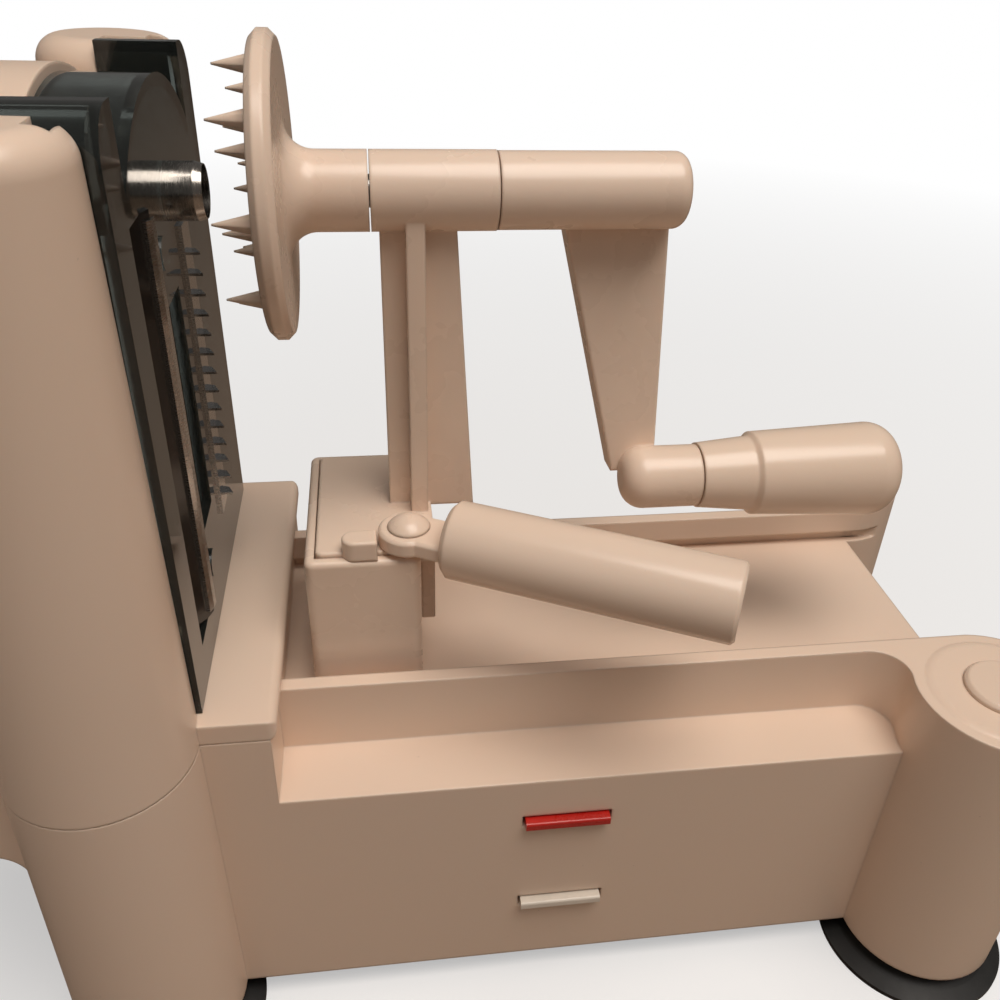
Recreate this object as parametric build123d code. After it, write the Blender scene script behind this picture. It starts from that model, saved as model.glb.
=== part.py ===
from build123d import *
import math
import os

# Horizontal hand cranked vegetable spiral slicer, in millimetres.
# X runs along the machine: the blade end is at -X and the crank end is at +X.
# The push lever is on the -Y side, Y = 0 is the centre plane, Z is up and the table is Z = 0.
# The origin is under the middle of the machine's length and width.

# ---- driving dimensions: housing ----
wall = 3.0                   # moulded wall thickness
half_width = 60.5            # centre plane to the outer face of a long wall
foot_height = 9.0            # table to the bottom edge of the housing
shelf_z = 89.3               # top of the long shelf outside each rim
deck_z = 98.4                # top of the deck that the carriage slides on
rim_z = 111.6                # top of the rims beside the deck
column_z = 112.2             # top of the two rear corner columns
seam_z = 113.4               # parting plane of the lower and upper mouldings
sill_z = 119.7               # top of the sill that the cassette stands on
tower_z = 266.0              # top of the two towers
axis_z = 238.5               # crank axis

rim_outer = 40.0             # centre plane to the outer face of a rim
rim_inner = 35.4             # centre plane to the inner face of a rim
groove_depth = 2.8           # undercut at the foot of each rim that traps the carriage
groove_height = 4.4
sill_reach = 18.8            # cassette front to the sill's face towards the crank
seat_reach = 17.0            # cassette front to the face of the lower moulding under the sill
deck_reach = 223.0           # cassette front to the open end of the deck
outlet_reach = 80.0          # cassette front to the open end of the outlet hood
outlet_half = 50.0           # centre plane to the clear side of the outlet
apron_z = 77.0               # lower edge of the outlet's side walls
arch_radius = 60.5           # roof of the outlet hood

tower_axis_reach = 25.0      # cassette front to the tower's axis at its foot
tower_foot_radius = 25.0
tower_seam_radius = 24.0
tower_top_radius = 19.0
tower_top_fillet = 7.0
tower_lean = 3.5             # the tower's axis moves this far towards the crank at its top
column_reach = 224.5         # cassette front to the axis of a rear column
column_radius = 25.2
floor_thickness = 4.0        # plate at the foot of towers and columns

# ---- driving dimensions: suction cups and caps ----
cup_radius = 30.0
cup_neck_radius = 9.0
cup_stem_radius = 4.5
cup_height = 8.6
cap_radius = 11.4
cap_rise = 2.0
cap_plug_radius = 9.0

# ---- driving dimensions: blade cassette ----
cassette_half = 55.5         # centre plane to the cassette's side
cassette_height = 146.5
cassette_depth = 21.0
cassette_wall = 3.0
hump_radius = 58.5           # arch between the cassette's ears
ear_inner = 41.0             # centre plane to the inner side of an ear
slide_gap = 0.3              # flat clearance round a piece that slides or lifts out
tab_length = 25.0            # finger tab at the middle of the cassette's side
tab_thickness = 3.0
tab_reach = 6.1              # how far the tab stands out of the cassette's side
tab_depth = 8.0              # cassette front to the middle of the tab
corer_radius = 7.0
corer_wall = 0.7
corer_fit = 0.05             # radial clearance of the corer in its hole
corer_reach = 9.2            # how far the corer stands out of the cassette's front
throat_inner = 3.0           # centre plane to the far edge of the throat
throat_low = 32.0            # above the cassette's foot
throat_high = 96.0
ramp_low = 12.0
ramp_high = 122.0
ramp_back = -43.0            # heel of the ramp, from the centre plane
ramp_edge = -27.0            # edge of the ramp over the throat
blade_thickness = 0.8
blade_overhang = 1.6
blade_show = 3.0             # width of the blade on the ramp behind the edge
comb_low = 25.0              # lowest and highest tooth, above the cassette's foot
comb_high = 104.0
comb_near = 7.0
comb_far = 17.0
comb_thickness = 0.9
tooth_thickness = 0.7
boss_radius = 4.0            # round bosses on the cassette's front
boss_rise = 0.8
boss_y = -16.5
boss_heights = (20.0, 108.5)
tooth_count_coarse = 14
tooth_pitch_coarse = 5.6
tooth_count_fine = 24
tooth_pitch_fine = 3.2
tooth_reach = 4.6

# ---- driving dimensions: cassette store ----
store_centre_reach = 98.5    # cassette front to the middle of the stored cassettes
store_tab_z_high = 72.8      # middle of the upper stored tab
store_tab_z_low = 36.0       # middle of the lower stored tab
store_tab_show = 2.6         # how far a stored tab stands out of the near wall
tab_slot_gap = 0.8
store_gap = 1.0              # clearance round a stored cassette in the far wall
rail_thickness = 3.0
rail_ledge = 7.0

# ---- driving dimensions: carriage and post ----
block_front = 26.6           # cassette front to the carriage block at rest
block_length = 31.9
block_half = 30.0
block_z = 147.0
runner_half = 37.9           # centre plane to the edge of the runner in the rim's undercut
runner_thickness = 3.8
plate_border = 2.7           # strip of the block left round the inset plate
plate_gap = 0.4
plate_rise = 1.2
plate_sink = 3.0
skirt_thickness = 4.0
skirt_half = 20.5
skirt_drop = 29.0
post_left_top = 50.6         # from the cassette front
post_right_top = 70.0
post_left_foot = 50.9
post_right_foot = 75.6
post_web = 5.0
rib_left = 57.0
rib_width = 4.8
rib_half_depth = 8.0
barrel_left = 48.3
barrel_right = 80.5
barrel_radius = 9.8
end_gap = 0.35               # thin gap between the barrel and what turns beside it

# ---- driving dimensions: drive ----
shaft_radius = 4.0
running_gap = 0.05           # radial, shafts and pins that turn
bush_wall = 2.2
bush_length = 9.0
disc_front = 22.9
disc_thickness = 5.6
disc_radius = 36.0
disc_flare = 7.0             # radius where the hub meets the disc
spike_length = 9.0
spike_radius = 2.6
spike_tip_radius = 0.25
spike_sides = 8
spike_root = 0.5             # how far a spike's foot is sunk in the disc
outer_spikes = 8
outer_spike_circle = 28.5
inner_spikes = 5
inner_spike_circle = 15.5
hub_right = 129.5            # rounded end of the crank's hub
hub_radius = 9.6
crank_throw = 82.2           # crank axis to grip axis
crank_lean = 5.0             # degrees from hanging straight down, towards the lever's side
arm_top_left = 97.0
arm_top_right = 127.5
arm_foot_left = 117.0
stub_left = 118.8
arm_foot_right = 130.2
arm_thickness = 9.0
stub_right = 141.5
stub_radius = 9.25
stub_end_fillet = 6.5
grip_neck_right = 157.5
grip_neck_radius = 9.7
grip_neck_flare = 11.2
grip_right = 203.5
grip_start_radius = 12.5
grip_end_radius = 14.6
axle_radius = 3.0
axle_left = 122.0            # ends of the grip's axle, from the cassette front
axle_right = 196.0
shaft_right = 118.0
screw_radius = 1.6
screw_length = 9.0
screw_head_radius = 3.4
screw_head_depth = 2.2
grip_end_fillet = 8.5

# ---- driving dimensions: push lever ----
lever_pivot_reach = 55.5
lever_pivot_y = -23.2
lever_angle = -26.4          # from +X, seen from above
lever_length = 91.2
lever_grip_start = 12.5
lever_grip_radius = 10.9
lever_grip_z = 152.6
tongue_thickness = 4.5
tongue_eye_radius = 8.5
tongue_half = 7.0
tongue_length = 34.0
tongue_gap = 0.8
tongue_head_gap = 0.2
pivot_radius = 3.0
pivot_boss_radius = 6.5      # round end of the plate under the lever's eye
pivot_dome_radius = 6.0
pivot_dome_rise = 3.2
lug_left = 37.0
lug_right = 46.6
lug_half_width = 3.4
lug_y = -26.3
lug_height = 4.8

# ---- places that follow from the sizes above ----
blade_x = (outlet_reach - column_reach - cup_radius) / 2
tower_x = blade_x - tower_axis_reach
column_x = blade_x + column_reach
cassette_z = sill_z + slide_gap
channel_back = blade_x - cassette_depth - slide_gap
channel_half = cassette_half + slide_gap
plate_top = block_z + plate_rise
store_x = blade_x + store_centre_reach


def box(x0, x1, y0, y1, z0, z1):
    """Rectangular solid between two corners."""
    return Pos((x0 + x1) / 2, (y0 + y1) / 2, (z0 + z1) / 2) * Box(x1 - x0, y1 - y0, z1 - z0)


def rod_x(x0, x1, y, z, radius):
    """Round bar along X."""
    return Pos((x0 + x1) / 2, y, z) * Rot(0, 90, 0) * Cylinder(radius, x1 - x0)


def rod_z(x, y, z0, z1, radius):
    """Round bar along Z."""
    return Pos(x, y, (z0 + z1) / 2) * Cylinder(radius, z1 - z0)


def prism_y(points, y0, y1):
    """Outline of (x, z) points, solid from y0 to y1."""
    face = make_face(Plane.XZ * Polyline(*points, close=True))
    return Pos(0, y1, 0) * extrude(face, y1 - y0)


def prism_z(points, z0, z1):
    """Outline of (x, y) points, solid from z0 to z1."""
    return Pos(0, 0, z0) * extrude(make_face(Polyline(*points, close=True)), z1 - z0)


def slice_x(sketch, x0, x1):
    """Sketch in (y, z), solid from x0 to x1."""
    return Pos(x0, 0, 0) * extrude(Plane.YZ * sketch, x1 - x0)


def turned_x(profile):
    """Solid of revolution about the X axis from (x, radius) points."""
    return revolve(make_face(Plane.XY * Polyline(*profile, close=True)), Axis.X)


def edges_at(part, axis, low, high):
    """Edges whose middle lies between two heights along an axis."""
    return part.edges().filter_by_position(axis, low, high)


# ---------------------------------------------------------------- housing

def lower_tower(side):
    """Lower half of a tower, with a little draft."""
    height = seam_z - foot_height
    cone = Cone(tower_foot_radius, tower_seam_radius, height)
    return Pos(tower_x, side * half_width, foot_height + height / 2) * cone


def lower_tower_cavity(side):
    """Inside of a tower's lower half above its floor."""
    low = foot_height + floor_thickness
    high = seam_z - wall
    hollow = rod_z(tower_x, side * half_width, low, high, tower_seam_radius - wall)
    clear = outlet_half + wall
    keep = box(tower_x - 2 * tower_foot_radius, channel_back, *sorted((side * clear, side * 3 * clear)), low, high)
    front = box(channel_back, blade_x + wall, *sorted((0, side * 3 * clear)), low, high)
    return hollow & (keep + front)


def rear_column(side):
    """Round corner column with its rounded top."""
    column = rod_z(column_x, side * half_width, foot_height, column_z, column_radius)
    return fillet(column.edges().group_by(Axis.Z)[-1], 6)


def rear_column_cavity(side):
    """Inside of a corner column, with the hole that its cap plugs."""
    top = column_z - wall
    hollow = rod_z(column_x, side * half_width, foot_height + floor_thickness, top - 4, column_radius - wall)
    plug_hole = rod_z(column_x, side * half_width, top - 5, column_z + 1, cap_plug_radius + running_gap)
    return hollow + plug_hole


def rim_plan():
    """Plan of the raised part inside the shelf, blended into the columns."""
    length = deck_reach - seat_reach
    plan = Pos(blade_x + seat_reach + length / 2, 0) * Rectangle(length, 2 * rim_outer)
    for side in (-1, 1):
        plan += Pos(column_x, side * half_width) * Circle(column_radius)
    notch = column_x - math.sqrt(column_radius ** 2 - (half_width - rim_outer) ** 2)
    corners = plan.vertices().filter_by_position(Axis.X, notch - 1, notch + 1)
    corners = corners.filter_by_position(Axis.Y, -rim_outer - 1, rim_outer + 1)
    return fillet(corners, 9)


def apron(side):
    """Side wall of the outlet below the seam, arched up beside the tower's foot."""
    left = blade_x - outlet_reach
    right = tower_x
    arch = 10.0
    edge = tower_x - tower_foot_radius - 2
    low = apron_z - 2.5 * arch
    outline = Pos((left + right) / 2, (apron_z + seam_z) / 2) * Rectangle(right - left, seam_z - apron_z)
    outline += Pos((edge + right) / 2, (low + seam_z) / 2) * Rectangle(right - edge, seam_z - low)
    inner = outline.vertices().filter_by_position(Axis.X, edge - 0.1, edge + 0.1)
    inner = inner.filter_by_position(Axis.Y, apron_z - 0.1, apron_z + 0.1)
    outline = fillet(inner, arch)
    y = side * half_width
    solid = extrude(Plane.XZ * outline, wall)
    return Pos(0, y if side < 0 else y, 0) * (Pos(0, wall if side < 0 else 0, 0) * solid)


def stored_span():
    """X range of the stored cassettes' openings in the far wall."""
    half = cassette_height / 2 + store_gap
    return store_x - half, store_x + half


def base_housing():
    """Lower moulding: towers' feet, shelf, rims, deck, rear columns and cassette store."""
    left = channel_back - 1
    body = box(left, blade_x + deck_reach, -half_width, half_width, foot_height, shelf_z)
    body += box(left, blade_x + seat_reach, -half_width, half_width, foot_height, seam_z)
    body += Pos(0, 0, foot_height) * extrude(rim_plan(), rim_z - foot_height)
    for side in (-1, 1):
        body += lower_tower(side)
        body += rear_column(side)
    behind = blade_x - outlet_reach
    body -= box(behind, left, -outlet_half, outlet_half, 0, seam_z + 1)
    for side in (-1, 1):
        body += apron(side)

    body -= box(blade_x + seat_reach, column_x + 40, -rim_inner, rim_inner, deck_z, column_z + 1)
    trap = rim_inner + groove_depth
    body -= box(blade_x + seat_reach, column_x + 40, -trap, trap, deck_z, deck_z + groove_height)

    inside_left = left + wall
    inside_right = blade_x + deck_reach - wall
    inner = half_width - wall
    body -= box(inside_left, inside_right, -inner, inner, 0, shelf_z - wall)
    body -= box(inside_left, blade_x + seat_reach - wall, -inner, inner, 0, seam_z - wall)
    under_rim = rim_inner - wall
    body -= box(inside_left, inside_right, -under_rim, under_rim, 0, deck_z - wall)
    for side in (-1, 1):
        body -= lower_tower_cavity(side)
        body -= rear_column_cavity(side)
        for x in (tower_x, column_x):
            body -= rod_z(x, side * half_width, 0, foot_height + floor_thickness + 1, cup_stem_radius + running_gap)

    slot_half = tab_length / 2 + tab_slot_gap
    far_left, far_right = stored_span()
    for tab_z in (store_tab_z_high, store_tab_z_low):
        slot_low = tab_z - tab_thickness / 2 - tab_slot_gap
        slot_high = tab_z + tab_thickness / 2 + tab_slot_gap
        body -= box(store_x - slot_half, store_x + slot_half, -half_width - 1, -inner + 1, slot_low, slot_high)
        low = tab_z - tab_depth - corer_reach - store_gap
        high = tab_z - tab_depth + cassette_depth + slide_gap
        body -= box(far_left, far_right, inner - 1, half_width + 1, low, high)

    rib_drop = 7.0
    for part_of_deck in (0.25, 0.5, 0.75):
        x = inside_left + part_of_deck * (inside_right - inside_left)
        body += box(x - 1.2, x + 1.2, -under_rim, under_rim, deck_z - wall - rib_drop, deck_z - wall)
    return body


def leaning_cone(side, foot_radius, top_radius, top_z):
    """Tapered round solid from below the seam, tilted so that its top leans towards the crank."""
    height = top_z - seam_z
    below = 10.0
    widening = (foot_radius - top_radius) * below / height
    cone = Pos(0, 0, (height - below) / 2) * Cone(foot_radius + widening, top_radius, height + below)
    tilt = math.degrees(math.atan2(tower_lean, tower_z - seam_z))
    return Pos(tower_x, side * half_width, seam_z) * Rot(0, tilt, 0) * cone


def upper_tower(side):
    """Tapered round tower that leans a little towards the crank."""
    tower = leaning_cone(side, tower_seam_radius, tower_top_radius, tower_z)
    tower = fillet(tower.edges().sort_by(Axis.Z)[-1], tower_top_fillet)
    room = 2 * tower_foot_radius
    y = side * half_width
    return tower & box(tower_x - room, tower_x + room, y - room, y + room, seam_z, tower_z + room)


def upper_tower_cavity(side):
    """Inside of a tower, open at the seam."""
    hollow = leaning_cone(side, tower_seam_radius - wall, tower_top_radius - wall, tower_z - 2 * wall)
    clear = channel_half + wall
    hollow &= box(tower_x - 40, tower_x + 40, *sorted((side * clear, side * 3 * clear)), seam_z - 1, tower_z)
    guard = box(*tab_groove_span(wall), *sorted((0, side * (tab_groove_half() + wall))), 0, tower_z)
    return hollow - guard


def tab_groove_span(extra=0.0):
    """X range of the groove that the mounted cassette's tab slides down."""
    half = tab_thickness / 2 + tab_slot_gap + extra
    return blade_x - tab_depth - half, blade_x - tab_depth + half


def tab_groove_half():
    """Centre plane to the bottom of the tab's groove."""
    return cassette_half + tab_reach + tab_slot_gap


def hood_outline(inset):
    """Arched section of the outlet hood in (y, z), from the seam up."""
    radius = arch_radius - inset
    spring = tower_z - arch_radius + 0.5
    low = seam_z
    outline = Pos(0, (low + spring) / 2) * Rectangle(2 * radius, spring - low)
    return outline + Pos(0, spring) * Circle(radius)


def tower_frame():
    """Upper moulding: two towers, the sill between them and the arched outlet hood."""
    hood_left = blade_x - outlet_reach
    frame = slice_x(hood_outline(0), hood_left, channel_back)
    for side in (-1, 1):
        frame += upper_tower(side)
    sill = box(channel_back, blade_x + sill_reach, -half_width, half_width, seam_z, sill_z)
    sill = fillet(edges_at(sill, Axis.X, blade_x + sill_reach - 0.1, blade_x + sill_reach + 0.1), 2.5)
    frame += sill

    frame -= slice_x(hood_outline(wall), hood_left - 1, tower_x - tower_seam_radius + wall)
    frame -= slice_x(hood_outline(wall) & passage_plan(), hood_left - 1, channel_back + 1)
    frame -= box(channel_back, blade_x + 40, -channel_half, channel_half, sill_z, tower_z + 1)
    foot = cassette_z + (cassette_height - tab_length) / 2 - tab_slot_gap
    groove = tab_groove_half()
    frame -= box(*tab_groove_span(), -groove, groove, foot, tower_z + 1)
    for side in (-1, 1):
        frame -= upper_tower_cavity(side)
    return frame


def passage_plan():
    """Clear section of the outlet between the towers in (y, z)."""
    spring = tower_z - arch_radius + 0.5
    low = Pos(0, (seam_z + spring) / 2) * Rectangle(2 * outlet_half, spring - seam_z)
    return low + Pos(0, spring + arch_radius / 2) * Rectangle(2 * outlet_half, arch_radius)


# ---------------------------------------------------------------- feet, caps and fasteners

def suction_cup(x, side):
    """Rubber cup with its neck, turned, and the stem that pulls up through the floor."""
    lip = 1.6
    profile = [
        (0, 3.4),
        (cup_radius - 9, 1.0),
        (cup_radius - 2, 0),
        (cup_radius, 0),
        (cup_radius, lip),
        (cup_radius - 5, lip + 1.6),
        (cup_radius - 10, cup_height - 3.0),
        (cup_neck_radius + 2, cup_height - 1.2),
        (cup_neck_radius, cup_height),
        (cup_neck_radius, foot_height),
        (cup_stem_radius, foot_height),
        (cup_stem_radius, foot_height + floor_thickness),
        (cup_stem_radius + 1.8, foot_height + floor_thickness),
        (cup_stem_radius, foot_height + floor_thickness + 4),
        (0, foot_height + floor_thickness + 5),
    ]
    cup = revolve(make_face(Plane.XZ * Polyline(*profile, close=True)), Axis.Z)
    return Pos(x, side * half_width, 0) * cup


def corner_cap(side):
    """Round plug that covers the hole on top of a rear column."""
    head = rod_z(column_x, side * half_width, column_z, column_z + cap_rise, cap_radius)
    head = chamfer(head.edges().group_by(Axis.Z)[-1], 1.0)
    return head + rod_z(column_x, side * half_width, column_z - 5, column_z, cap_plug_radius)


def screw_z(x, y, head_z, length, radius=1.6, head=3.2, up=True):
    """Pan head screw whose shank points up from its head, or down."""
    thick = 2.0
    sign = 1 if up else -1
    z_head = sorted((head_z, head_z - sign * thick))
    z_shank = sorted((head_z, head_z + sign * length))
    return rod_z(x, y, *z_head, head) + rod_z(x, y, *z_shank, radius)


# ---------------------------------------------------------------- blade cassettes, built upright at the origin

def cassette_outline(inset):
    """Front outline in (y, z) with the arched hump between two ears, foot at z = 0."""
    half = cassette_half - inset
    top = cassette_height - inset
    centre = tower_z - 1.5 - hump_radius - cassette_z
    outline = Pos(0, (top + inset) / 2) * Rectangle(2 * half, top - inset)
    outline = fillet(outline.vertices().group_by(Axis.Y)[-1], 11 - inset)
    inner = ear_inner + inset
    low = centre + math.sqrt(hump_radius ** 2 - ear_inner ** 2) - 8
    saddle = Pos(0, (low + cassette_height + 1) / 2) * Rectangle(2 * inner, cassette_height + 1 - low)
    saddle -= Pos(0, centre) * Circle(hump_radius - inset)
    return outline - saddle


def cassette_body():
    """Tray open at the back, with the throat, the blade's slot and the corer's hole."""
    body = slice_x(cassette_outline(0), -cassette_depth, 0)
    body -= slice_x(cassette_outline(cassette_wall), -cassette_depth - 1, -cassette_wall)
    body -= box(-cassette_wall - 1, 1, ramp_edge - 1, -throat_inner, throat_low, throat_high)
    body -= box(-cassette_wall - 1, 1, ramp_back, ramp_edge, ramp_low, ramp_high)
    body -= rod_x(-cassette_wall - 1, 1, 0, axis_z - cassette_z, corer_radius + corer_fit)
    for z in boss_heights:
        body += rod_x(0, boss_rise, boss_y, z, boss_radius)
    return body


def blade_ramp():
    """Inclined slab that fills the slot and carries the straight blade."""
    points = [
        (-5.8, ramp_back + 1.4),
        (-4.4, ramp_back),
        (1.2, ramp_edge - 1.4),
        (0.2, ramp_edge),
        (-1.4, ramp_edge),
    ]
    return prism_z(points, ramp_low, ramp_high)


def straight_blade():
    """Steel strip on the ramp, its ground edge standing over the throat."""
    rise = 1.2 + 4.4
    run = ramp_edge - 1.4 - ramp_back
    length = math.hypot(rise, run)
    along = Vector(rise / length, run / length)
    out = Vector(run / length, -rise / length)
    heel = Vector(-4.4, ramp_back) + along * (length - blade_show)
    edge = Vector(-4.4, ramp_back) + along * (length + blade_overhang)
    points = [heel, edge, edge + out * 0.15 - along * 0.1, edge + out * blade_thickness - along * 2.4]
    points.append(heel + out * blade_thickness)
    return prism_z([(p.X, p.Y) for p in points], ramp_low + 2, ramp_high - 2)


def tooth_comb(count, pitch):
    """Steel strip with a row of small upright knives that score the vegetable."""
    middle = (comb_low + comb_high) / 2
    comb = box(0, comb_thickness, comb_near, comb_far, comb_low - 4, comb_high + 4)
    first = middle - (count - 1) * pitch / 2
    outline = [
        (0, comb_near),
        (tooth_reach, comb_near),
        (tooth_reach - 1.6, comb_near + 3.4),
        (0, comb_near + 4.6),
    ]
    for index in range(count):
        z = first + index * pitch
        comb += prism_z(outline, z - tooth_thickness / 2, z + tooth_thickness / 2)
    return comb


def corer_tube():
    """Thin steel tube on the crank axis with a sharpened end."""
    end = corer_reach
    back = -cassette_depth + 3
    outer = corer_radius
    inner = corer_radius - corer_wall
    profile = [(back, inner), (back, outer), (end - 2, outer), (end, inner + 0.1), (end, inner)]
    return Pos(0, 0, axis_z - cassette_z) * turned_x(profile)


def cassette_tab():
    """Finger tab at the middle of the cassette's near side."""
    middle = cassette_height / 2
    half = tab_length / 2
    y0 = -cassette_half - tab_reach
    thick = tab_thickness / 2
    tab = box(-tab_depth - thick, -tab_depth + thick, y0, -cassette_half, middle - half, middle + half)
    return fillet(edges_at(tab, Axis.Y, y0 - 0.1, y0 + 0.1).filter_by(Axis.Z), 0.8)


def mounted(solid):
    """Place a cassette piece upright between the towers."""
    return Pos(blade_x, 0, cassette_z) * solid


def stored(solid, tab_z):
    """Place a cassette piece flat in the store, its front down and its foot towards the blade end."""
    y = -half_width - store_tab_show + cassette_half + tab_reach
    return Pos(store_x - cassette_height / 2, y, tab_z - tab_depth) * Rot(0, 90, 0) * solid


# ---------------------------------------------------------------- cassette store

def storage_rail(left):
    """Upright plate with two ledges that carry one end of both stored cassettes."""
    far_left, far_right = stored_span()
    inner = half_width - wall
    if left:
        plate_in = far_left - 0.2
        plate_out = plate_in - rail_thickness
        ledge_in = plate_in + rail_ledge
    else:
        plate_in = far_right + 0.2
        plate_out = plate_in + rail_thickness
        ledge_in = plate_in - rail_ledge
    x_plate = sorted((plate_in, plate_out))
    x_ledge = sorted((plate_out, ledge_in))
    rail = box(*x_plate, -inner, inner, foot_height + 1, shelf_z - wall)
    for tab_z in (store_tab_z_high, store_tab_z_low):
        under = tab_z - tab_depth - slide_gap
        rail += box(*x_ledge, -inner, inner, under - 2.4, under)
    return rail


# ---------------------------------------------------------------- carriage

def carriage_block():
    """Moulded block with the recess for the post's plate and a runner in each undercut."""
    left = blade_x + block_front
    right = left + block_length
    foot = deck_z + 0.2
    block = box(left, right, -block_half, block_half, foot, block_z)
    block = fillet(block.edges().filter_by(Axis.Z), 2.5)
    block = fillet(block.edges().group_by(Axis.Z)[-1], 1.6)
    block += box(left + 1, right - 1, -runner_half, runner_half, foot, foot + runner_thickness)
    recess = plate_border
    block -= box(left + recess, right + 1, -block_half + recess, block_half - recess, block_z - plate_sink, block_z + 1)
    hollow = box(left + wall, right - wall, -block_half + wall, block_half - wall, foot - 1, block_z - plate_sink - wall)
    for x, y in carriage_screw_places():
        hollow -= rod_z(x, y, foot - 1, block_z, 4.2)
    block -= hollow
    for x, y in carriage_screw_places():
        block -= rod_z(x, y, foot - 1, block_z - plate_sink - wall - 2, 3.4)
        block -= rod_z(x, y, foot - 1, block_z + 1, 1.7)
    return block


def carriage_screw_places():
    """Where the screws pull the post's plate down on the block."""
    left = blade_x + block_front
    return [(left + x, side * 20.0) for x in (8.0, 22.0) for side in (-1, 1)]


def post_plan(half_depth, z, share):
    """Cross section of the post at a height: a wide web with a rib on both faces."""
    left = blade_x + post_left_foot + share * (post_left_top - post_left_foot)
    right = blade_x + post_right_foot + share * (post_right_top - post_right_foot)
    rib_middle = blade_x + rib_left + rib_width / 2
    web = Pos((left + right) / 2, 0, z) * Rectangle(right - left, post_web)
    rib = Pos(rib_middle, 0, z) * Rectangle(rib_width, 2 * half_depth)
    return web, rib


def crank_post():
    """Inset plate, skirt, ribbed post and barrel, one moulding."""
    plate_left = blade_x + block_front + plate_border + plate_gap
    block_right = blade_x + block_front + block_length
    half = block_half - plate_border - plate_gap
    skirt_right = block_right + end_gap + skirt_thickness
    plate = box(plate_left, block_right, -half, half, block_z - plate_sink, plate_top)
    plate = fillet(plate.edges().filter_by(Axis.Z), 2.0)
    plate = fillet(plate.edges().group_by(Axis.Z)[-1], 0.7)
    skirt = box(block_right - 2, skirt_right, -skirt_half, skirt_half, plate_top - 4, plate_top)
    skirt += box(block_right + end_gap, skirt_right, -skirt_half, skirt_half, block_z - skirt_drop, plate_top)
    skirt = fillet(edges_at(skirt, Axis.Z, block_z - skirt_drop - 0.1, block_z - skirt_drop + 0.1), 1.5)
    post = plate + skirt
    low = plate_top - 1
    high = axis_z - barrel_radius * 0.5
    webs = [post_plan(rib_half_depth, z, share) for z, share in ((low, 0), (high, 1))]
    post += loft([webs[0][0], webs[1][0]], ruled=True)
    post += loft([webs[0][1], webs[1][1]], ruled=True)
    barrel = rod_x(blade_x + barrel_left + end_gap, blade_x + barrel_right - end_gap, 0, axis_z, barrel_radius)
    post += barrel
    bore = shaft_radius + running_gap + bush_wall
    post -= rod_x(blade_x + barrel_left - 1, blade_x + barrel_right + 1, 0, axis_z, bore)
    x = blade_x + lever_pivot_reach
    boss = rod_z(x, lever_pivot_y, block_z - plate_sink, plate_top, pivot_boss_radius)
    post += boss & box(plate_left, x + block_length, -half, half, block_z - plate_sink, plate_top)
    post -= rod_z(x, lever_pivot_y, block_z - plate_sink - 1, plate_top + 1, pivot_radius)
    for sx, sy in carriage_screw_places():
        post -= rod_z(sx, sy, block_z - plate_sink - 1, block_z, 1.3)
    return post + stop_lug()


def stop_lug():
    """Lug on the plate that the lever's tongue meets when it is swung square to the machine."""
    left = blade_x + lug_left
    right = blade_x + lug_right
    straight = right - left - lug_half_width
    plan = Pos(right - straight / 2, lug_y) * Rectangle(straight, 2 * lug_half_width)
    plan += Pos(left + lug_half_width, lug_y) * Circle(lug_half_width)
    foot = block_z + 0.1
    lug = Pos(0, 0, foot) * extrude(plan, plate_top + lug_height - foot)
    return fillet(lug.edges().group_by(Axis.Z)[-1], 0.8)


def barrel_bush(left):
    """Plain bush in one end of the barrel."""
    if left:
        x0 = blade_x + barrel_left + end_gap
        x1 = x0 + bush_length
    else:
        x1 = blade_x + barrel_right - end_gap
        x0 = x1 - bush_length
    outer = shaft_radius + running_gap + bush_wall
    return rod_x(x0, x1, 0, axis_z, outer) - rod_x(x0 - 1, x1 + 1, 0, axis_z, shaft_radius + running_gap)


# ---------------------------------------------------------------- drive

def spike():
    """Pointed spike with flat sides, its foot at the origin and its tip along +Z."""
    foot = Pos(0, 0, -spike_root) * RegularPolygon(spike_radius, spike_sides)
    tip = Pos(0, 0, spike_length) * RegularPolygon(spike_tip_radius, spike_sides)
    return loft([foot, tip], ruled=True)


def spike_ring(count, circle, turn):
    """Spikes on a circle, pointing at the blade."""
    spikes = []
    for index in range(count):
        angle = math.radians(turn + 360 * index / count)
        y = circle * math.cos(angle)
        z = axis_z + circle * math.sin(angle)
        spikes.append(Pos(blade_x + disc_front, y, z) * Rot(0, -90, 0) * spike())
    return spikes


def spiked_disc():
    """Pusher disc with two rings of spikes and a flared hub."""
    front = disc_front
    back = disc_front + disc_thickness
    profile = [
        (front, 0),
        (front, disc_radius),
        (back, disc_radius),
        (back, barrel_radius),
        (barrel_left, barrel_radius),
        (barrel_left, 0),
    ]
    disc = turned_x(profile)
    rim = [edge for edge in disc.edges().filter_by(GeomType.CIRCLE) if edge.radius > disc_radius - 1]
    disc = chamfer(rim, 1.6)
    root = [edge for edge in disc.edges().filter_by(GeomType.CIRCLE) if abs(edge.radius - barrel_radius) < 0.1]
    root = ShapeList(root).sort_by(Axis.X)[:1]
    disc = Pos(blade_x, 0, axis_z) * fillet(root, disc_flare)
    disc += spike_ring(outer_spikes, outer_spike_circle, 90)
    disc += spike_ring(inner_spikes, inner_spike_circle, 60)
    disc -= rod_x(blade_x + front + 5, blade_x + barrel_left + 1, 0, axis_z, shaft_radius)
    disc -= rod_x(blade_x + front - 1, blade_x + front + 6, 0, axis_z, screw_radius)
    disc -= rod_x(blade_x + front - 1, blade_x + front + screw_head_depth, 0, axis_z, screw_head_radius)
    return disc


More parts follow.
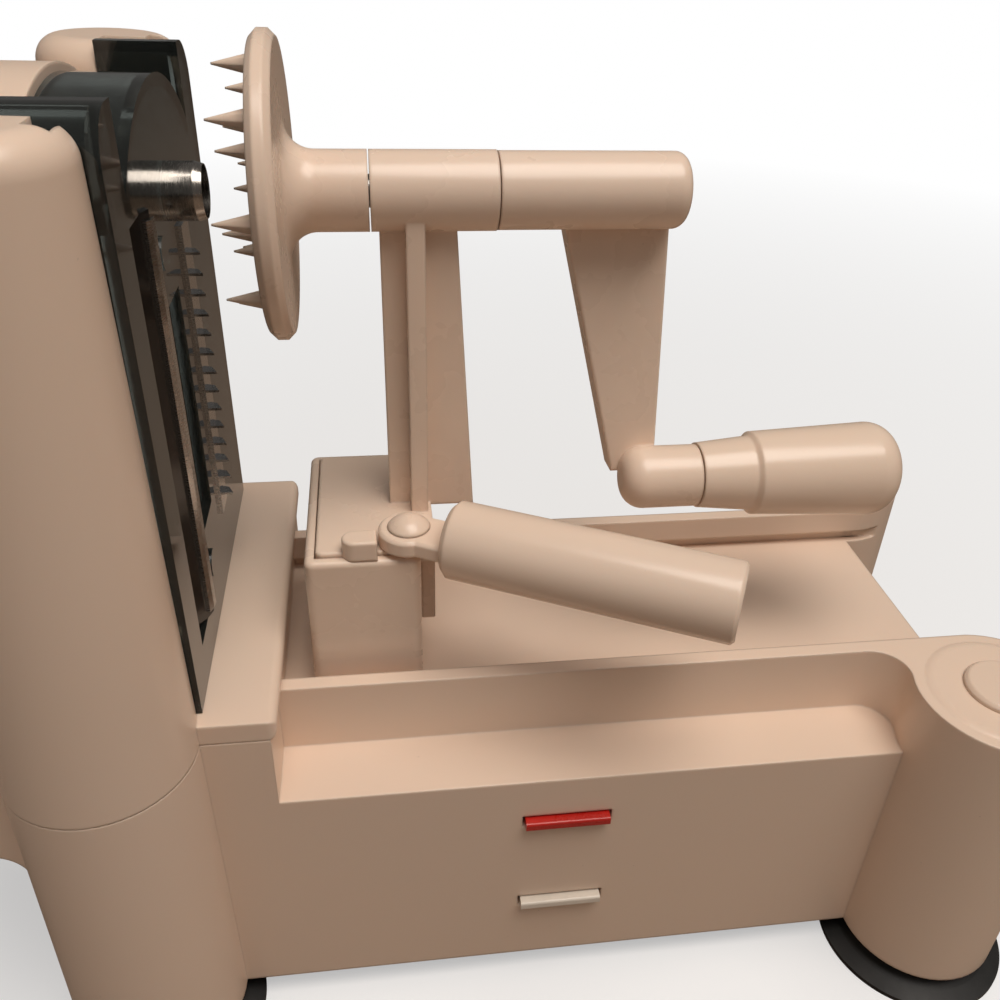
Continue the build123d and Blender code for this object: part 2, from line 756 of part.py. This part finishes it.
def drive_shaft():
    """Steel shaft from the disc through the barrel into the crank's hub."""
    start = blade_x + disc_front + 5
    shaft = rod_x(start, blade_x + shaft_right, 0, axis_z, shaft_radius)
    return shaft - rod_x(start - 1, start + screw_length, 0, axis_z, screw_radius)


def disc_screw():
    """Countersunk-depth screw that holds the disc on the shaft."""
    head_end = blade_x + disc_front + screw_head_depth
    head = rod_x(blade_x + disc_front + 0.2, head_end, 0, axis_z, screw_head_radius - 0.2)
    shank_end = blade_x + disc_front + 5 + screw_length
    return head + rod_x(head_end, shank_end, 0, axis_z, screw_radius)


def crank_place(solid):
    """Turn a crank piece, made hanging straight down from the origin's height, to where it rests."""
    return Pos(0, 0, axis_z) * Rot(-crank_lean, 0, 0) * solid


def crank_arm():
    """Hub with a rounded end, flat tapered arm and the stub that the grip turns on."""
    left = blade_x + barrel_right
    hub = rod_x(left, blade_x + hub_right, 0, 0, hub_radius)
    hub = fillet(hub.edges().filter_by(GeomType.CIRCLE).sort_by(Axis.X)[-1:], 3.5)
    outline = [
        (blade_x + arm_top_left, 0),
        (blade_x + arm_top_right, 0),
        (blade_x + arm_foot_right, -crank_throw),
        (blade_x + arm_foot_left, -crank_throw),
    ]
    half = arm_thickness / 2
    arm = prism_y(outline, -half, half)
    arm = fillet(arm.faces().sort_by(Axis.Y)[0].edges(), 0.8)
    arm = fillet(arm.faces().sort_by(Axis.Y)[-1].edges(), 0.8)
    stub = rod_x(blade_x + stub_left, blade_x + stub_right, 0, -crank_throw, stub_radius)
    stub = fillet(stub.edges().filter_by(GeomType.CIRCLE).sort_by(Axis.X)[:1], stub_end_fillet)
    crank = hub + arm + stub
    crank -= rod_x(left - 1, blade_x + shaft_right, 0, 0, shaft_radius)
    crank -= rod_x(blade_x + axle_left, blade_x + stub_right + 1, 0, -crank_throw, axle_radius)
    return crank_place(crank)


def grip_axle():
    """Steel pin pressed into the stub, with a shoulder inside the grip."""
    return crank_place(rod_x(blade_x + axle_left, blade_x + axle_right, 0, -crank_throw, axle_radius))


def crank_grip():
    """Turning grip: a short neck and a longer body that widens to a rounded end."""
    start = stub_right + end_gap
    profile = [
        (start, 0),
        (start, grip_neck_radius),
        (grip_neck_right, grip_neck_flare),
        (grip_neck_right + 1.2, grip_start_radius),
        (grip_right, grip_end_radius),
        (grip_right, 0),
    ]
    grip = turned_x(profile)
    end = [edge for edge in grip.edges().filter_by(GeomType.CIRCLE) if abs(edge.radius - grip_end_radius) < 0.05]
    grip = fillet(end, grip_end_fillet)
    grip -= rod_x(start - 1, axle_right + 0.5, 0, 0, axle_radius + running_gap)
    return crank_place(Pos(blade_x, 0, -crank_throw) * grip)


# ---------------------------------------------------------------- push lever

def lever_place(solid):
    """Turn a lever piece made along +X from its pivot to where it rests."""
    return Pos(blade_x + lever_pivot_reach, lever_pivot_y, 0) * Rot(0, 0, lever_angle) * solid


def lever_tongue():
    """Flat tongue with the eye that turns on the pivot."""
    low = plate_top + tongue_gap
    plan = Circle(tongue_eye_radius) + Pos(tongue_length / 2, 0) * Rectangle(tongue_length, 2 * tongue_half)
    tongue = Pos(0, 0, low) * extrude(plan, tongue_thickness)
    tongue = chamfer(tongue.edges().group_by(Axis.Z)[-1], 0.8)
    tongue -= rod_z(0, 0, low - 1, low + tongue_thickness + 1, pivot_radius + running_gap)
    return lever_place(tongue)


def lever_grip():
    """Round handle that the tongue is pressed into."""
    grip = rod_x(lever_grip_start, lever_length, 0, lever_grip_z, lever_grip_radius)
    ends = grip.edges().filter_by(GeomType.CIRCLE).sort_by(Axis.X)
    grip = chamfer(ends[:1], 1.5)
    ends = grip.edges().filter_by(GeomType.CIRCLE).sort_by(Axis.X)
    grip = chamfer(ends[-1:], 1.0)
    low = plate_top + tongue_gap
    socket = box(lever_grip_start - 1, tongue_length, -tongue_half, tongue_half, low, low + tongue_thickness)
    return lever_place(grip - socket)


def lever_pivot_pin():
    """Pin with a domed head that the lever turns on."""
    top = plate_top + tongue_gap + tongue_thickness + tongue_head_gap
    pin = rod_z(0, 0, block_z - plate_sink, top, pivot_radius)
    ball = (pivot_dome_radius ** 2 + pivot_dome_rise ** 2) / (2 * pivot_dome_rise)
    dome = Pos(0, 0, top + pivot_dome_rise - ball) * Sphere(ball)
    dome &= box(-ball, ball, -ball, ball, top, top + pivot_dome_rise + 1)
    return Pos(blade_x + lever_pivot_reach, lever_pivot_y, 0) * (pin + dome)


# ---------------------------------------------------------------- fasteners

def carriage_screws():
    """Screws from inside the block up into the post's plate."""
    head_z = block_z - plate_sink - wall - 2
    return [screw_z(x, y, head_z, 6.5, 1.3) for x, y in carriage_screw_places()]


# ---------------------------------------------------------------- nodes

def spare_pieces(prefix, tab_z, comb):
    """Pieces of one stored cassette."""
    pieces = {
        prefix + "_cassette_body": cassette_body(),
        prefix + "_cassette_tab": cassette_tab(),
        prefix + "_blade_ramp": blade_ramp(),
        prefix + "_straight_blade": straight_blade(),
        prefix + "_corer_tube": corer_tube(),
    }
    if comb is not None:
        pieces[prefix + "_tooth_comb"] = comb
    return {name: stored(solid, tab_z) for name, solid in pieces.items()}


def all_nodes():
    """Every piece by its name."""
    nodes = {
        "base_housing": base_housing(),
        "tower_frame": tower_frame(),
        "storage_rail_front": storage_rail(True),
        "storage_rail_rear": storage_rail(False),
        "corner_cap_near": corner_cap(-1),
        "corner_cap_far": corner_cap(1),
        "cassette_body": mounted(cassette_body()),
        "cassette_tab": mounted(cassette_tab()),
        "blade_ramp": mounted(blade_ramp()),
        "straight_blade": mounted(straight_blade()),
        "tooth_comb": mounted(tooth_comb(tooth_count_coarse, tooth_pitch_coarse)),
        "corer_tube": mounted(corer_tube()),
        "carriage_block": carriage_block(),
        "crank_post": crank_post(),
        "barrel_bush_front": barrel_bush(True),
        "barrel_bush_rear": barrel_bush(False),
        "carriage_screws": carriage_screws(),
        "spiked_disc": spiked_disc(),
        "drive_shaft": drive_shaft(),
        "disc_screw": disc_screw(),
        "crank_arm": crank_arm(),
        "grip_axle": grip_axle(),
        "crank_grip": crank_grip(),
        "lever_tongue": lever_tongue(),
        "lever_grip": lever_grip(),
        "lever_pivot_pin": lever_pivot_pin(),
    }
    for side, name in ((-1, "near"), (1, "far")):
        nodes["suction_cup_front_" + name] = suction_cup(tower_x, side)
        nodes["suction_cup_rear_" + name] = suction_cup(column_x, side)
    fine = tooth_comb(tooth_count_fine, tooth_pitch_fine)
    nodes.update(spare_pieces("fine", store_tab_z_high, fine))
    nodes.update(spare_pieces("ribbon", store_tab_z_low, None))
    return nodes


os.makedirs("parts", exist_ok=True)
for name, solid in all_nodes().items():
    if isinstance(solid, list):
        solid = Compound(children=solid)
    export_step(solid, os.path.join("parts", name + ".step"))
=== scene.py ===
import math

import bpy
from mathutils import Matrix, Vector

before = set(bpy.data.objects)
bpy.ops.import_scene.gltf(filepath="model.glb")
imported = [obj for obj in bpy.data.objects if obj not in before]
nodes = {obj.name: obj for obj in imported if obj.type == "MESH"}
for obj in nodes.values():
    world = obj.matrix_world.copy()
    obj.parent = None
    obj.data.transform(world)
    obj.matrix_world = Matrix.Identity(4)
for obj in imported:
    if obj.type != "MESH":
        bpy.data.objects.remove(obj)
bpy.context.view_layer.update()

MM = 0.001

# The camera, fitted to the straight edges of the photograph.
PHOTO_WIDTH = 1000           # pixels
FOCAL_PIXELS = 952.84
SENSOR_WIDTH = 36.0
CAMERA_AT = (-39.6 * MM, -242.7 * MM, 300.4 * MM)
CAMERA_HEADING = 8.55        # degrees from +Y towards +X
CAMERA_DOWN = 32.16          # degrees below the horizon
CAMERA_ROLL = 2.11           # degrees
NEAREST_SEEN = 0.01
FARTHEST_SEEN = 50.0

CREAM = (0.80, 0.625, 0.50)
CREAM_MOVING = (0.815, 0.64, 0.515)
CREAM_GRIP = (0.80, 0.63, 0.505)
MOTTLE = 0.02                # how much darker the clouds in the moulded plastic are
YELLOWING = (1.0, 0.985, 0.95)
SPECK_SHADE = 0.6
EDGE = 1.1 * MM              # radius of the soft light along a moulded edge
PLASTIC_IOR = 1.5

FLOOR_SIZE = 30
FLOOR_PALE = ((0.86, 0.855, 0.85), (0.89, 0.887, 0.882))
FLOOR_BOUNCE = (0.30, 0.225, 0.17)
FLOOR_FADE = (0.15, 1.2)     # distances from the middle between which the floor turns white
FLOOR_GLOW = (0.45, 1.0)     # share of plain white at those distances
WHITE = (1, 1, 1, 1)
WORLD_COLOR = (1.0, 0.95, 0.91, 1)
WORLD_STRENGTH = 0.13


# ---------------------------------------------------------------- node helpers

class Nodes:
    """The node tree of a material or world, with short ways to add and join nodes."""

    MIX_FACTOR, MIX_FIRST, MIX_SECOND, MIX_RESULT = 0, 6, 7, 2     # a Mix node's sockets for colours

    def __init__(self, owner, output="ShaderNodeOutputMaterial"):
        owner.use_nodes = True
        self.owner = owner
        self.tree = owner.node_tree
        self.tree.nodes.clear()
        self.output = self.add(output)

    def add(self, kind, inputs=None, **settings):
        node = self.tree.nodes.new(kind)
        for key, value in settings.items():
            setattr(node, key, value)
        for key, value in (inputs or {}).items():
            node.inputs[key].default_value = value
        return node

    def join(self, source, target):
        self.tree.links.new(source, target)

    def coords(self, scale=(1, 1, 1)):
        texture = self.add("ShaderNodeTexCoord")
        mapping = self.add("ShaderNodeMapping", {"Scale": scale})
        self.join(texture.outputs["Object"], mapping.inputs["Vector"])
        return mapping.outputs["Vector"]

    def noise(self, vector, scale, detail=3, roughness=0.5):
        node = self.add("ShaderNodeTexNoise", {"Scale": scale, "Detail": detail, "Roughness": roughness})
        self.join(vector, node.inputs["Vector"])
        return node.outputs["Fac"]

    def ramp(self, factor, first, second, low=0.3, high=0.7):
        """A colour that goes from first, where the factor is low, to second, where it is high."""
        node = self.add("ShaderNodeValToRGB")
        for element, place, color in zip(node.color_ramp.elements, (low, high), (first, second)):
            element.position = place
            element.color = (*color, 1)
        self.join(factor, node.inputs["Fac"])
        return node.outputs["Color"]

    def spread(self, factor, first, second, low=0.3, high=0.7):
        """A number that goes from first, where the factor is low, to second, where it is high."""
        values = {"From Min": low, "From Max": high, "To Min": first, "To Max": second}
        node = self.add("ShaderNodeMapRange", values)
        self.join(factor, node.inputs["Value"])
        return node.outputs["Result"]

    def mix(self, factor, first, second):
        node = self.add("ShaderNodeMix", data_type="RGBA")
        self.join(factor, node.inputs[self.MIX_FACTOR])
        for color, place in ((first, self.MIX_FIRST), (second, self.MIX_SECOND)):
            if isinstance(color, tuple):
                node.inputs[place].default_value = (*color, 1)
            else:
                self.join(color, node.inputs[place])
        return node.outputs[self.MIX_RESULT]

    def math(self, operation, first, second):
        node = self.add("ShaderNodeMath", operation=operation)
        self.join(first, node.inputs[0])
        self.join(second, node.inputs[1])
        return node.outputs[0]

    def bump(self, height, distance, strength, normal=None):
        node = self.add("ShaderNodeBump", {"Distance": distance, "Strength": strength})
        self.join(height, node.inputs["Height"])
        if normal is not None:
            self.join(normal, node.inputs["Normal"])
        return node.outputs["Normal"]

    def surface(self, color, roughness, normal, **sockets):
        shader = self.add("ShaderNodeBsdfPrincipled")
        for key, value in sockets.items():
            shader.inputs[key.replace("_", " ")].default_value = value
        self.join(color, shader.inputs["Base Color"])
        self.join(roughness, shader.inputs["Roughness"])
        self.join(normal, shader.inputs["Normal"])
        self.join(shader.outputs[0], self.output.inputs["Surface"])
        return self.owner

    def seen_directly(self):
        """1 for rays from the camera or through glass, and 0 for the others."""
        path = self.add("ShaderNodeLightPath")
        return self.math("MAXIMUM", path.outputs["Is Camera Ray"], path.outputs["Is Transmission Ray"])

    def blend(self, share, first, second):
        """The surface is the first shader where share is 0, and the second where it is 1."""
        node = self.add("ShaderNodeMixShader")
        self.join(share, node.inputs["Fac"])
        self.join(first, node.inputs[1])
        self.join(second, node.inputs[2])
        self.join(node.outputs[0], self.output.inputs["Surface"])


# ---------------------------------------------------------------- materials

def shade(color, factor):
    return tuple(channel * factor for channel in color)


def moulded(name, color, rough=0.30, grime=0.35):
    """Moulded ABS: faint clouds, yellowed and rubbed places, sparse specks, a fine skin and soft edges."""
    n = Nodes(bpy.data.materials.new(name))
    where = n.coords()
    clouds = n.noise(where, 14)
    base = n.ramp(clouds, shade(color, 1 - MOTTLE), shade(color, 1 + MOTTLE * 0.4))
    warm = n.spread(n.noise(where, 6, detail=2), 0.0, 0.6, low=0.35, high=0.75)
    yellowed = tuple(channel * change for channel, change in zip(color, YELLOWING))
    base = n.mix(warm, base, yellowed)
    specks = n.spread(n.noise(where, 700, detail=1, roughness=0.3), 0.0, grime, low=0.82, high=0.87)
    base = n.mix(specks, base, shade(color, SPECK_SHADE))
    rubbed = n.noise(where, 35, detail=4, roughness=0.6)
    gloss = n.spread(rubbed, rough - 0.02, rough + 0.04, high=0.75)
    skin = n.noise(where, 1500, detail=2)
    edge = n.add("ShaderNodeBevel", {"Radius": EDGE}, samples=6)
    normal = n.bump(skin, 0.008 * MM, 0.5, edge.outputs["Normal"])
    return n.surface(base, gloss, normal, IOR=PLASTIC_IOR, Subsurface_Weight=0.08, Subsurface_Scale=3 * MM,
                     Subsurface_Radius=(1.0, 0.55, 0.35))


def smoky(name, color, clear):
    """Smoke tinted clear plastic with faint flow marks and a lightly scuffed face."""
    n = Nodes(bpy.data.materials.new(name))
    where = n.coords()
    flow = n.noise(n.coords((1, 1, 0.25)), 40)
    base = n.ramp(flow, shade(color, 0.85), shade(color, 1.15))
    scuffs = n.noise(where, 300, detail=4, roughness=0.7)
    gloss = n.spread(scuffs, 0.05, 0.16, low=0.45, high=0.8)
    normal = n.bump(n.noise(where, 30, detail=2), 0.3 * MM, 0.2)
    return n.surface(base, gloss, normal, IOR=PLASTIC_IOR, Transmission_Weight=clear)


def polished(name, color, rough=0.12):
    """Glossy moulded plastic with hairline scuffs."""
    n = Nodes(bpy.data.materials.new(name))
    where = n.coords()
    base = n.ramp(n.noise(where, 70), shade(color, 0.9), shade(color, 1.1))
    hairlines = n.noise(n.coords((1, 1, 14)), 260, detail=4, roughness=0.7)
    gloss = n.spread(hairlines, rough, rough + 0.12, low=0.4, high=0.8)
    normal = n.bump(n.noise(where, 1200, detail=2), 0.01 * MM, 0.5)
    return n.surface(base, gloss, normal, IOR=PLASTIC_IOR)


def rubber(name):
    """Soft black rubber with dust in its skin."""
    n = Nodes(bpy.data.materials.new(name))
    where = n.coords()
    dust = n.noise(where, 130, detail=5, roughness=0.7)
    base = n.ramp(dust, (0.005, 0.005, 0.005), (0.02, 0.019, 0.018), low=0.45, high=0.9)
    gloss = n.spread(n.noise(where, 50), 0.5, 0.65)
    normal = n.bump(n.noise(where, 1600, roughness=0.6), 0.02 * MM, 0.7)
    return n.surface(base, gloss, normal, IOR=PLASTIC_IOR)


def steel(name, color, rough, along, grain):
    """Ground or turned steel: fine grain in one direction and faint stains."""
    n = Nodes(bpy.data.materials.new(name))
    streaks = n.noise(n.coords(along), grain, roughness=0.6)
    stains = n.noise(n.coords(), 120, detail=4, roughness=0.6)
    base = n.ramp(stains, shade(color, 0.8), color, high=0.75)
    gloss = n.spread(streaks, rough - 0.06, rough + 0.12)
    normal = n.bump(streaks, 0.01 * MM, 0.5)
    return n.surface(base, gloss, normal, Metallic=1.0)


def paint(material, *names):
    for name in names:
        mesh = nodes[name].data
        mesh.materials.clear()
        mesh.materials.append(material)


cream = moulded("cream_housing", CREAM)
cream_moving = moulded("cream_moving", CREAM_MOVING, rough=0.27)
cream_grip = moulded("cream_grip", CREAM_GRIP, rough=0.24, grime=0.3)
cream_cap = moulded("cream_cap", shade(CREAM, 0.97), rough=0.33)
smoke = smoky("smoke_plastic", (0.095, 0.108, 0.100), clear=0.88)
smoke_tab = polished("smoke_tab", (0.03, 0.036, 0.034))
red_tab = polished("red_tab", (0.50, 0.018, 0.012), rough=0.25)
pale_tab = polished("cream_tab", (0.80, 0.72, 0.62), rough=0.28)
black_plastic = polished("black_plastic", (0.006, 0.006, 0.006), rough=0.16)
acetal = polished("bush_plastic", (0.70, 0.70, 0.66), rough=0.35)
black_rubber = rubber("black_rubber")
blade_steel = steel("blade_steel", (0.62, 0.61, 0.60), rough=0.22, along=(1, 1, 18), grain=500)
tube_steel = steel("bright_steel", (0.45, 0.42, 0.385), rough=0.19, along=(20, 1, 1), grain=400)
plain_steel = steel("plain_steel", (0.55, 0.54, 0.52), rough=0.28, along=(14, 1, 1), grain=500)

paint(cream, "base_housing", "tower_frame", "storage_rail_front", "storage_rail_rear")
paint(cream_cap, "corner_cap_near", "corner_cap_far")
paint(cream_moving, "carriage_block", "crank_post", "crank_arm", "spiked_disc")
paint(cream_moving, "lever_tongue", "lever_pivot_pin")
paint(cream_grip, "crank_grip", "lever_grip")
paint(smoke_tab, "cassette_tab")
paint(red_tab, "fine_cassette_tab")
paint(pale_tab, "ribbon_cassette_tab")
paint(plain_steel, "drive_shaft", "disc_screw", "grip_axle")
for name in nodes:
    if name.startswith("suction_cup"):
        paint(black_rubber, name)
    elif name.startswith("barrel_bush"):
        paint(acetal, name)
    elif name.endswith("cassette_body"):
        paint(smoke, name)
    elif name.endswith("blade_ramp"):
        paint(black_plastic, name)
    elif name.endswith(("straight_blade", "tooth_comb")):
        paint(blade_steel, name)
    elif name.endswith("corer_tube"):
        paint(tube_steel, name)
    elif name.endswith(("screws", "rivets")):
        paint(plain_steel, name)


# ---------------------------------------------------------------- camera

scene = bpy.context.scene
scene.view_settings.view_transform = "Standard"

camera_data = bpy.data.cameras.new("camera")
camera_data.sensor_width = SENSOR_WIDTH
camera_data.lens = SENSOR_WIDTH * FOCAL_PIXELS / PHOTO_WIDTH
camera_data.clip_start = NEAREST_SEEN
camera_data.clip_end = FARTHEST_SEEN
camera = bpy.data.objects.new("camera", camera_data)
scene.collection.objects.link(camera)
turn = Matrix.Rotation(math.radians(-CAMERA_HEADING), 4, "Z")
tilt = Matrix.Rotation(math.radians(90 - CAMERA_DOWN), 4, "X")
roll = Matrix.Rotation(math.radians(CAMERA_ROLL), 4, "Z")
camera.matrix_world = Matrix.Translation(CAMERA_AT) @ turn @ tilt @ roll
scene.camera = camera


# ---------------------------------------------------------------- floor, background and light

def floor_material():
    """Pale floor that keeps the object's shadow and fades to plain white, for the camera and through glass.
    The light that it throws back on the object is weak and warm."""
    n = Nodes(bpy.data.materials.new("floor"))
    where = n.coords()
    path = n.add("ShaderNodeLightPath")
    pale = n.ramp(n.noise(where, 3), *FLOOR_PALE)
    base = n.mix(path.outputs["Is Camera Ray"], FLOOR_BOUNCE, pale)
    matt = n.add("ShaderNodeBsdfPrincipled", {"Roughness": 0.6, "Specular IOR Level": 0.2})
    n.join(base, matt.inputs["Base Color"])
    glow = n.add("ShaderNodeEmission", {"Color": WHITE, "Strength": 1.0})
    distance = n.add("ShaderNodeVectorMath", operation="LENGTH")
    n.join(where, distance.inputs[0])
    fade = n.spread(distance.outputs["Value"], *FLOOR_GLOW, *FLOOR_FADE)
    n.blend(n.math("MULTIPLY", n.seen_directly(), fade), matt.outputs[0], glow.outputs[0])
    return n.owner


def white_world():
    """White for the camera and through glass, and a weak warm light for the rest."""
    n = Nodes(bpy.data.worlds.new("world"), "ShaderNodeOutputWorld")
    plain = n.add("ShaderNodeBackground", {"Color": WORLD_COLOR, "Strength": WORLD_STRENGTH})
    white = n.add("ShaderNodeBackground", {"Color": WHITE, "Strength": 1.0})
    n.blend(n.seen_directly(), plain.outputs[0], white.outputs[0])
    return n.owner


def area_light(name, place, target, size, power, color):
    """A square soft light at a place, facing a target."""
    data = bpy.data.lights.new(name, "AREA")
    data.size = size
    data.energy = power
    data.color = color
    light = bpy.data.objects.new(name, data)
    scene.collection.objects.link(light)
    away = Vector(place) - Vector(target)
    light.matrix_world = Matrix.Translation(place) @ away.to_track_quat("Z", "Y").to_matrix().to_4x4()


bpy.ops.mesh.primitive_plane_add(size=FLOOR_SIZE, location=(0, 0, 0))
floor = bpy.context.object
floor.name = "floor"
floor.data.materials.append(floor_material())

scene.world = white_world()
area_light("key", (0.30, -0.40, 1.60), (0.02, 0.0, 0.12), size=1.0, power=21.0, color=(1.0, 0.93, 0.86))
area_light("fill", (-0.85, -0.8, 0.85), (0.0, 0.0, 0.12), size=0.8, power=0.5, color=(1.0, 0.96, 0.94))
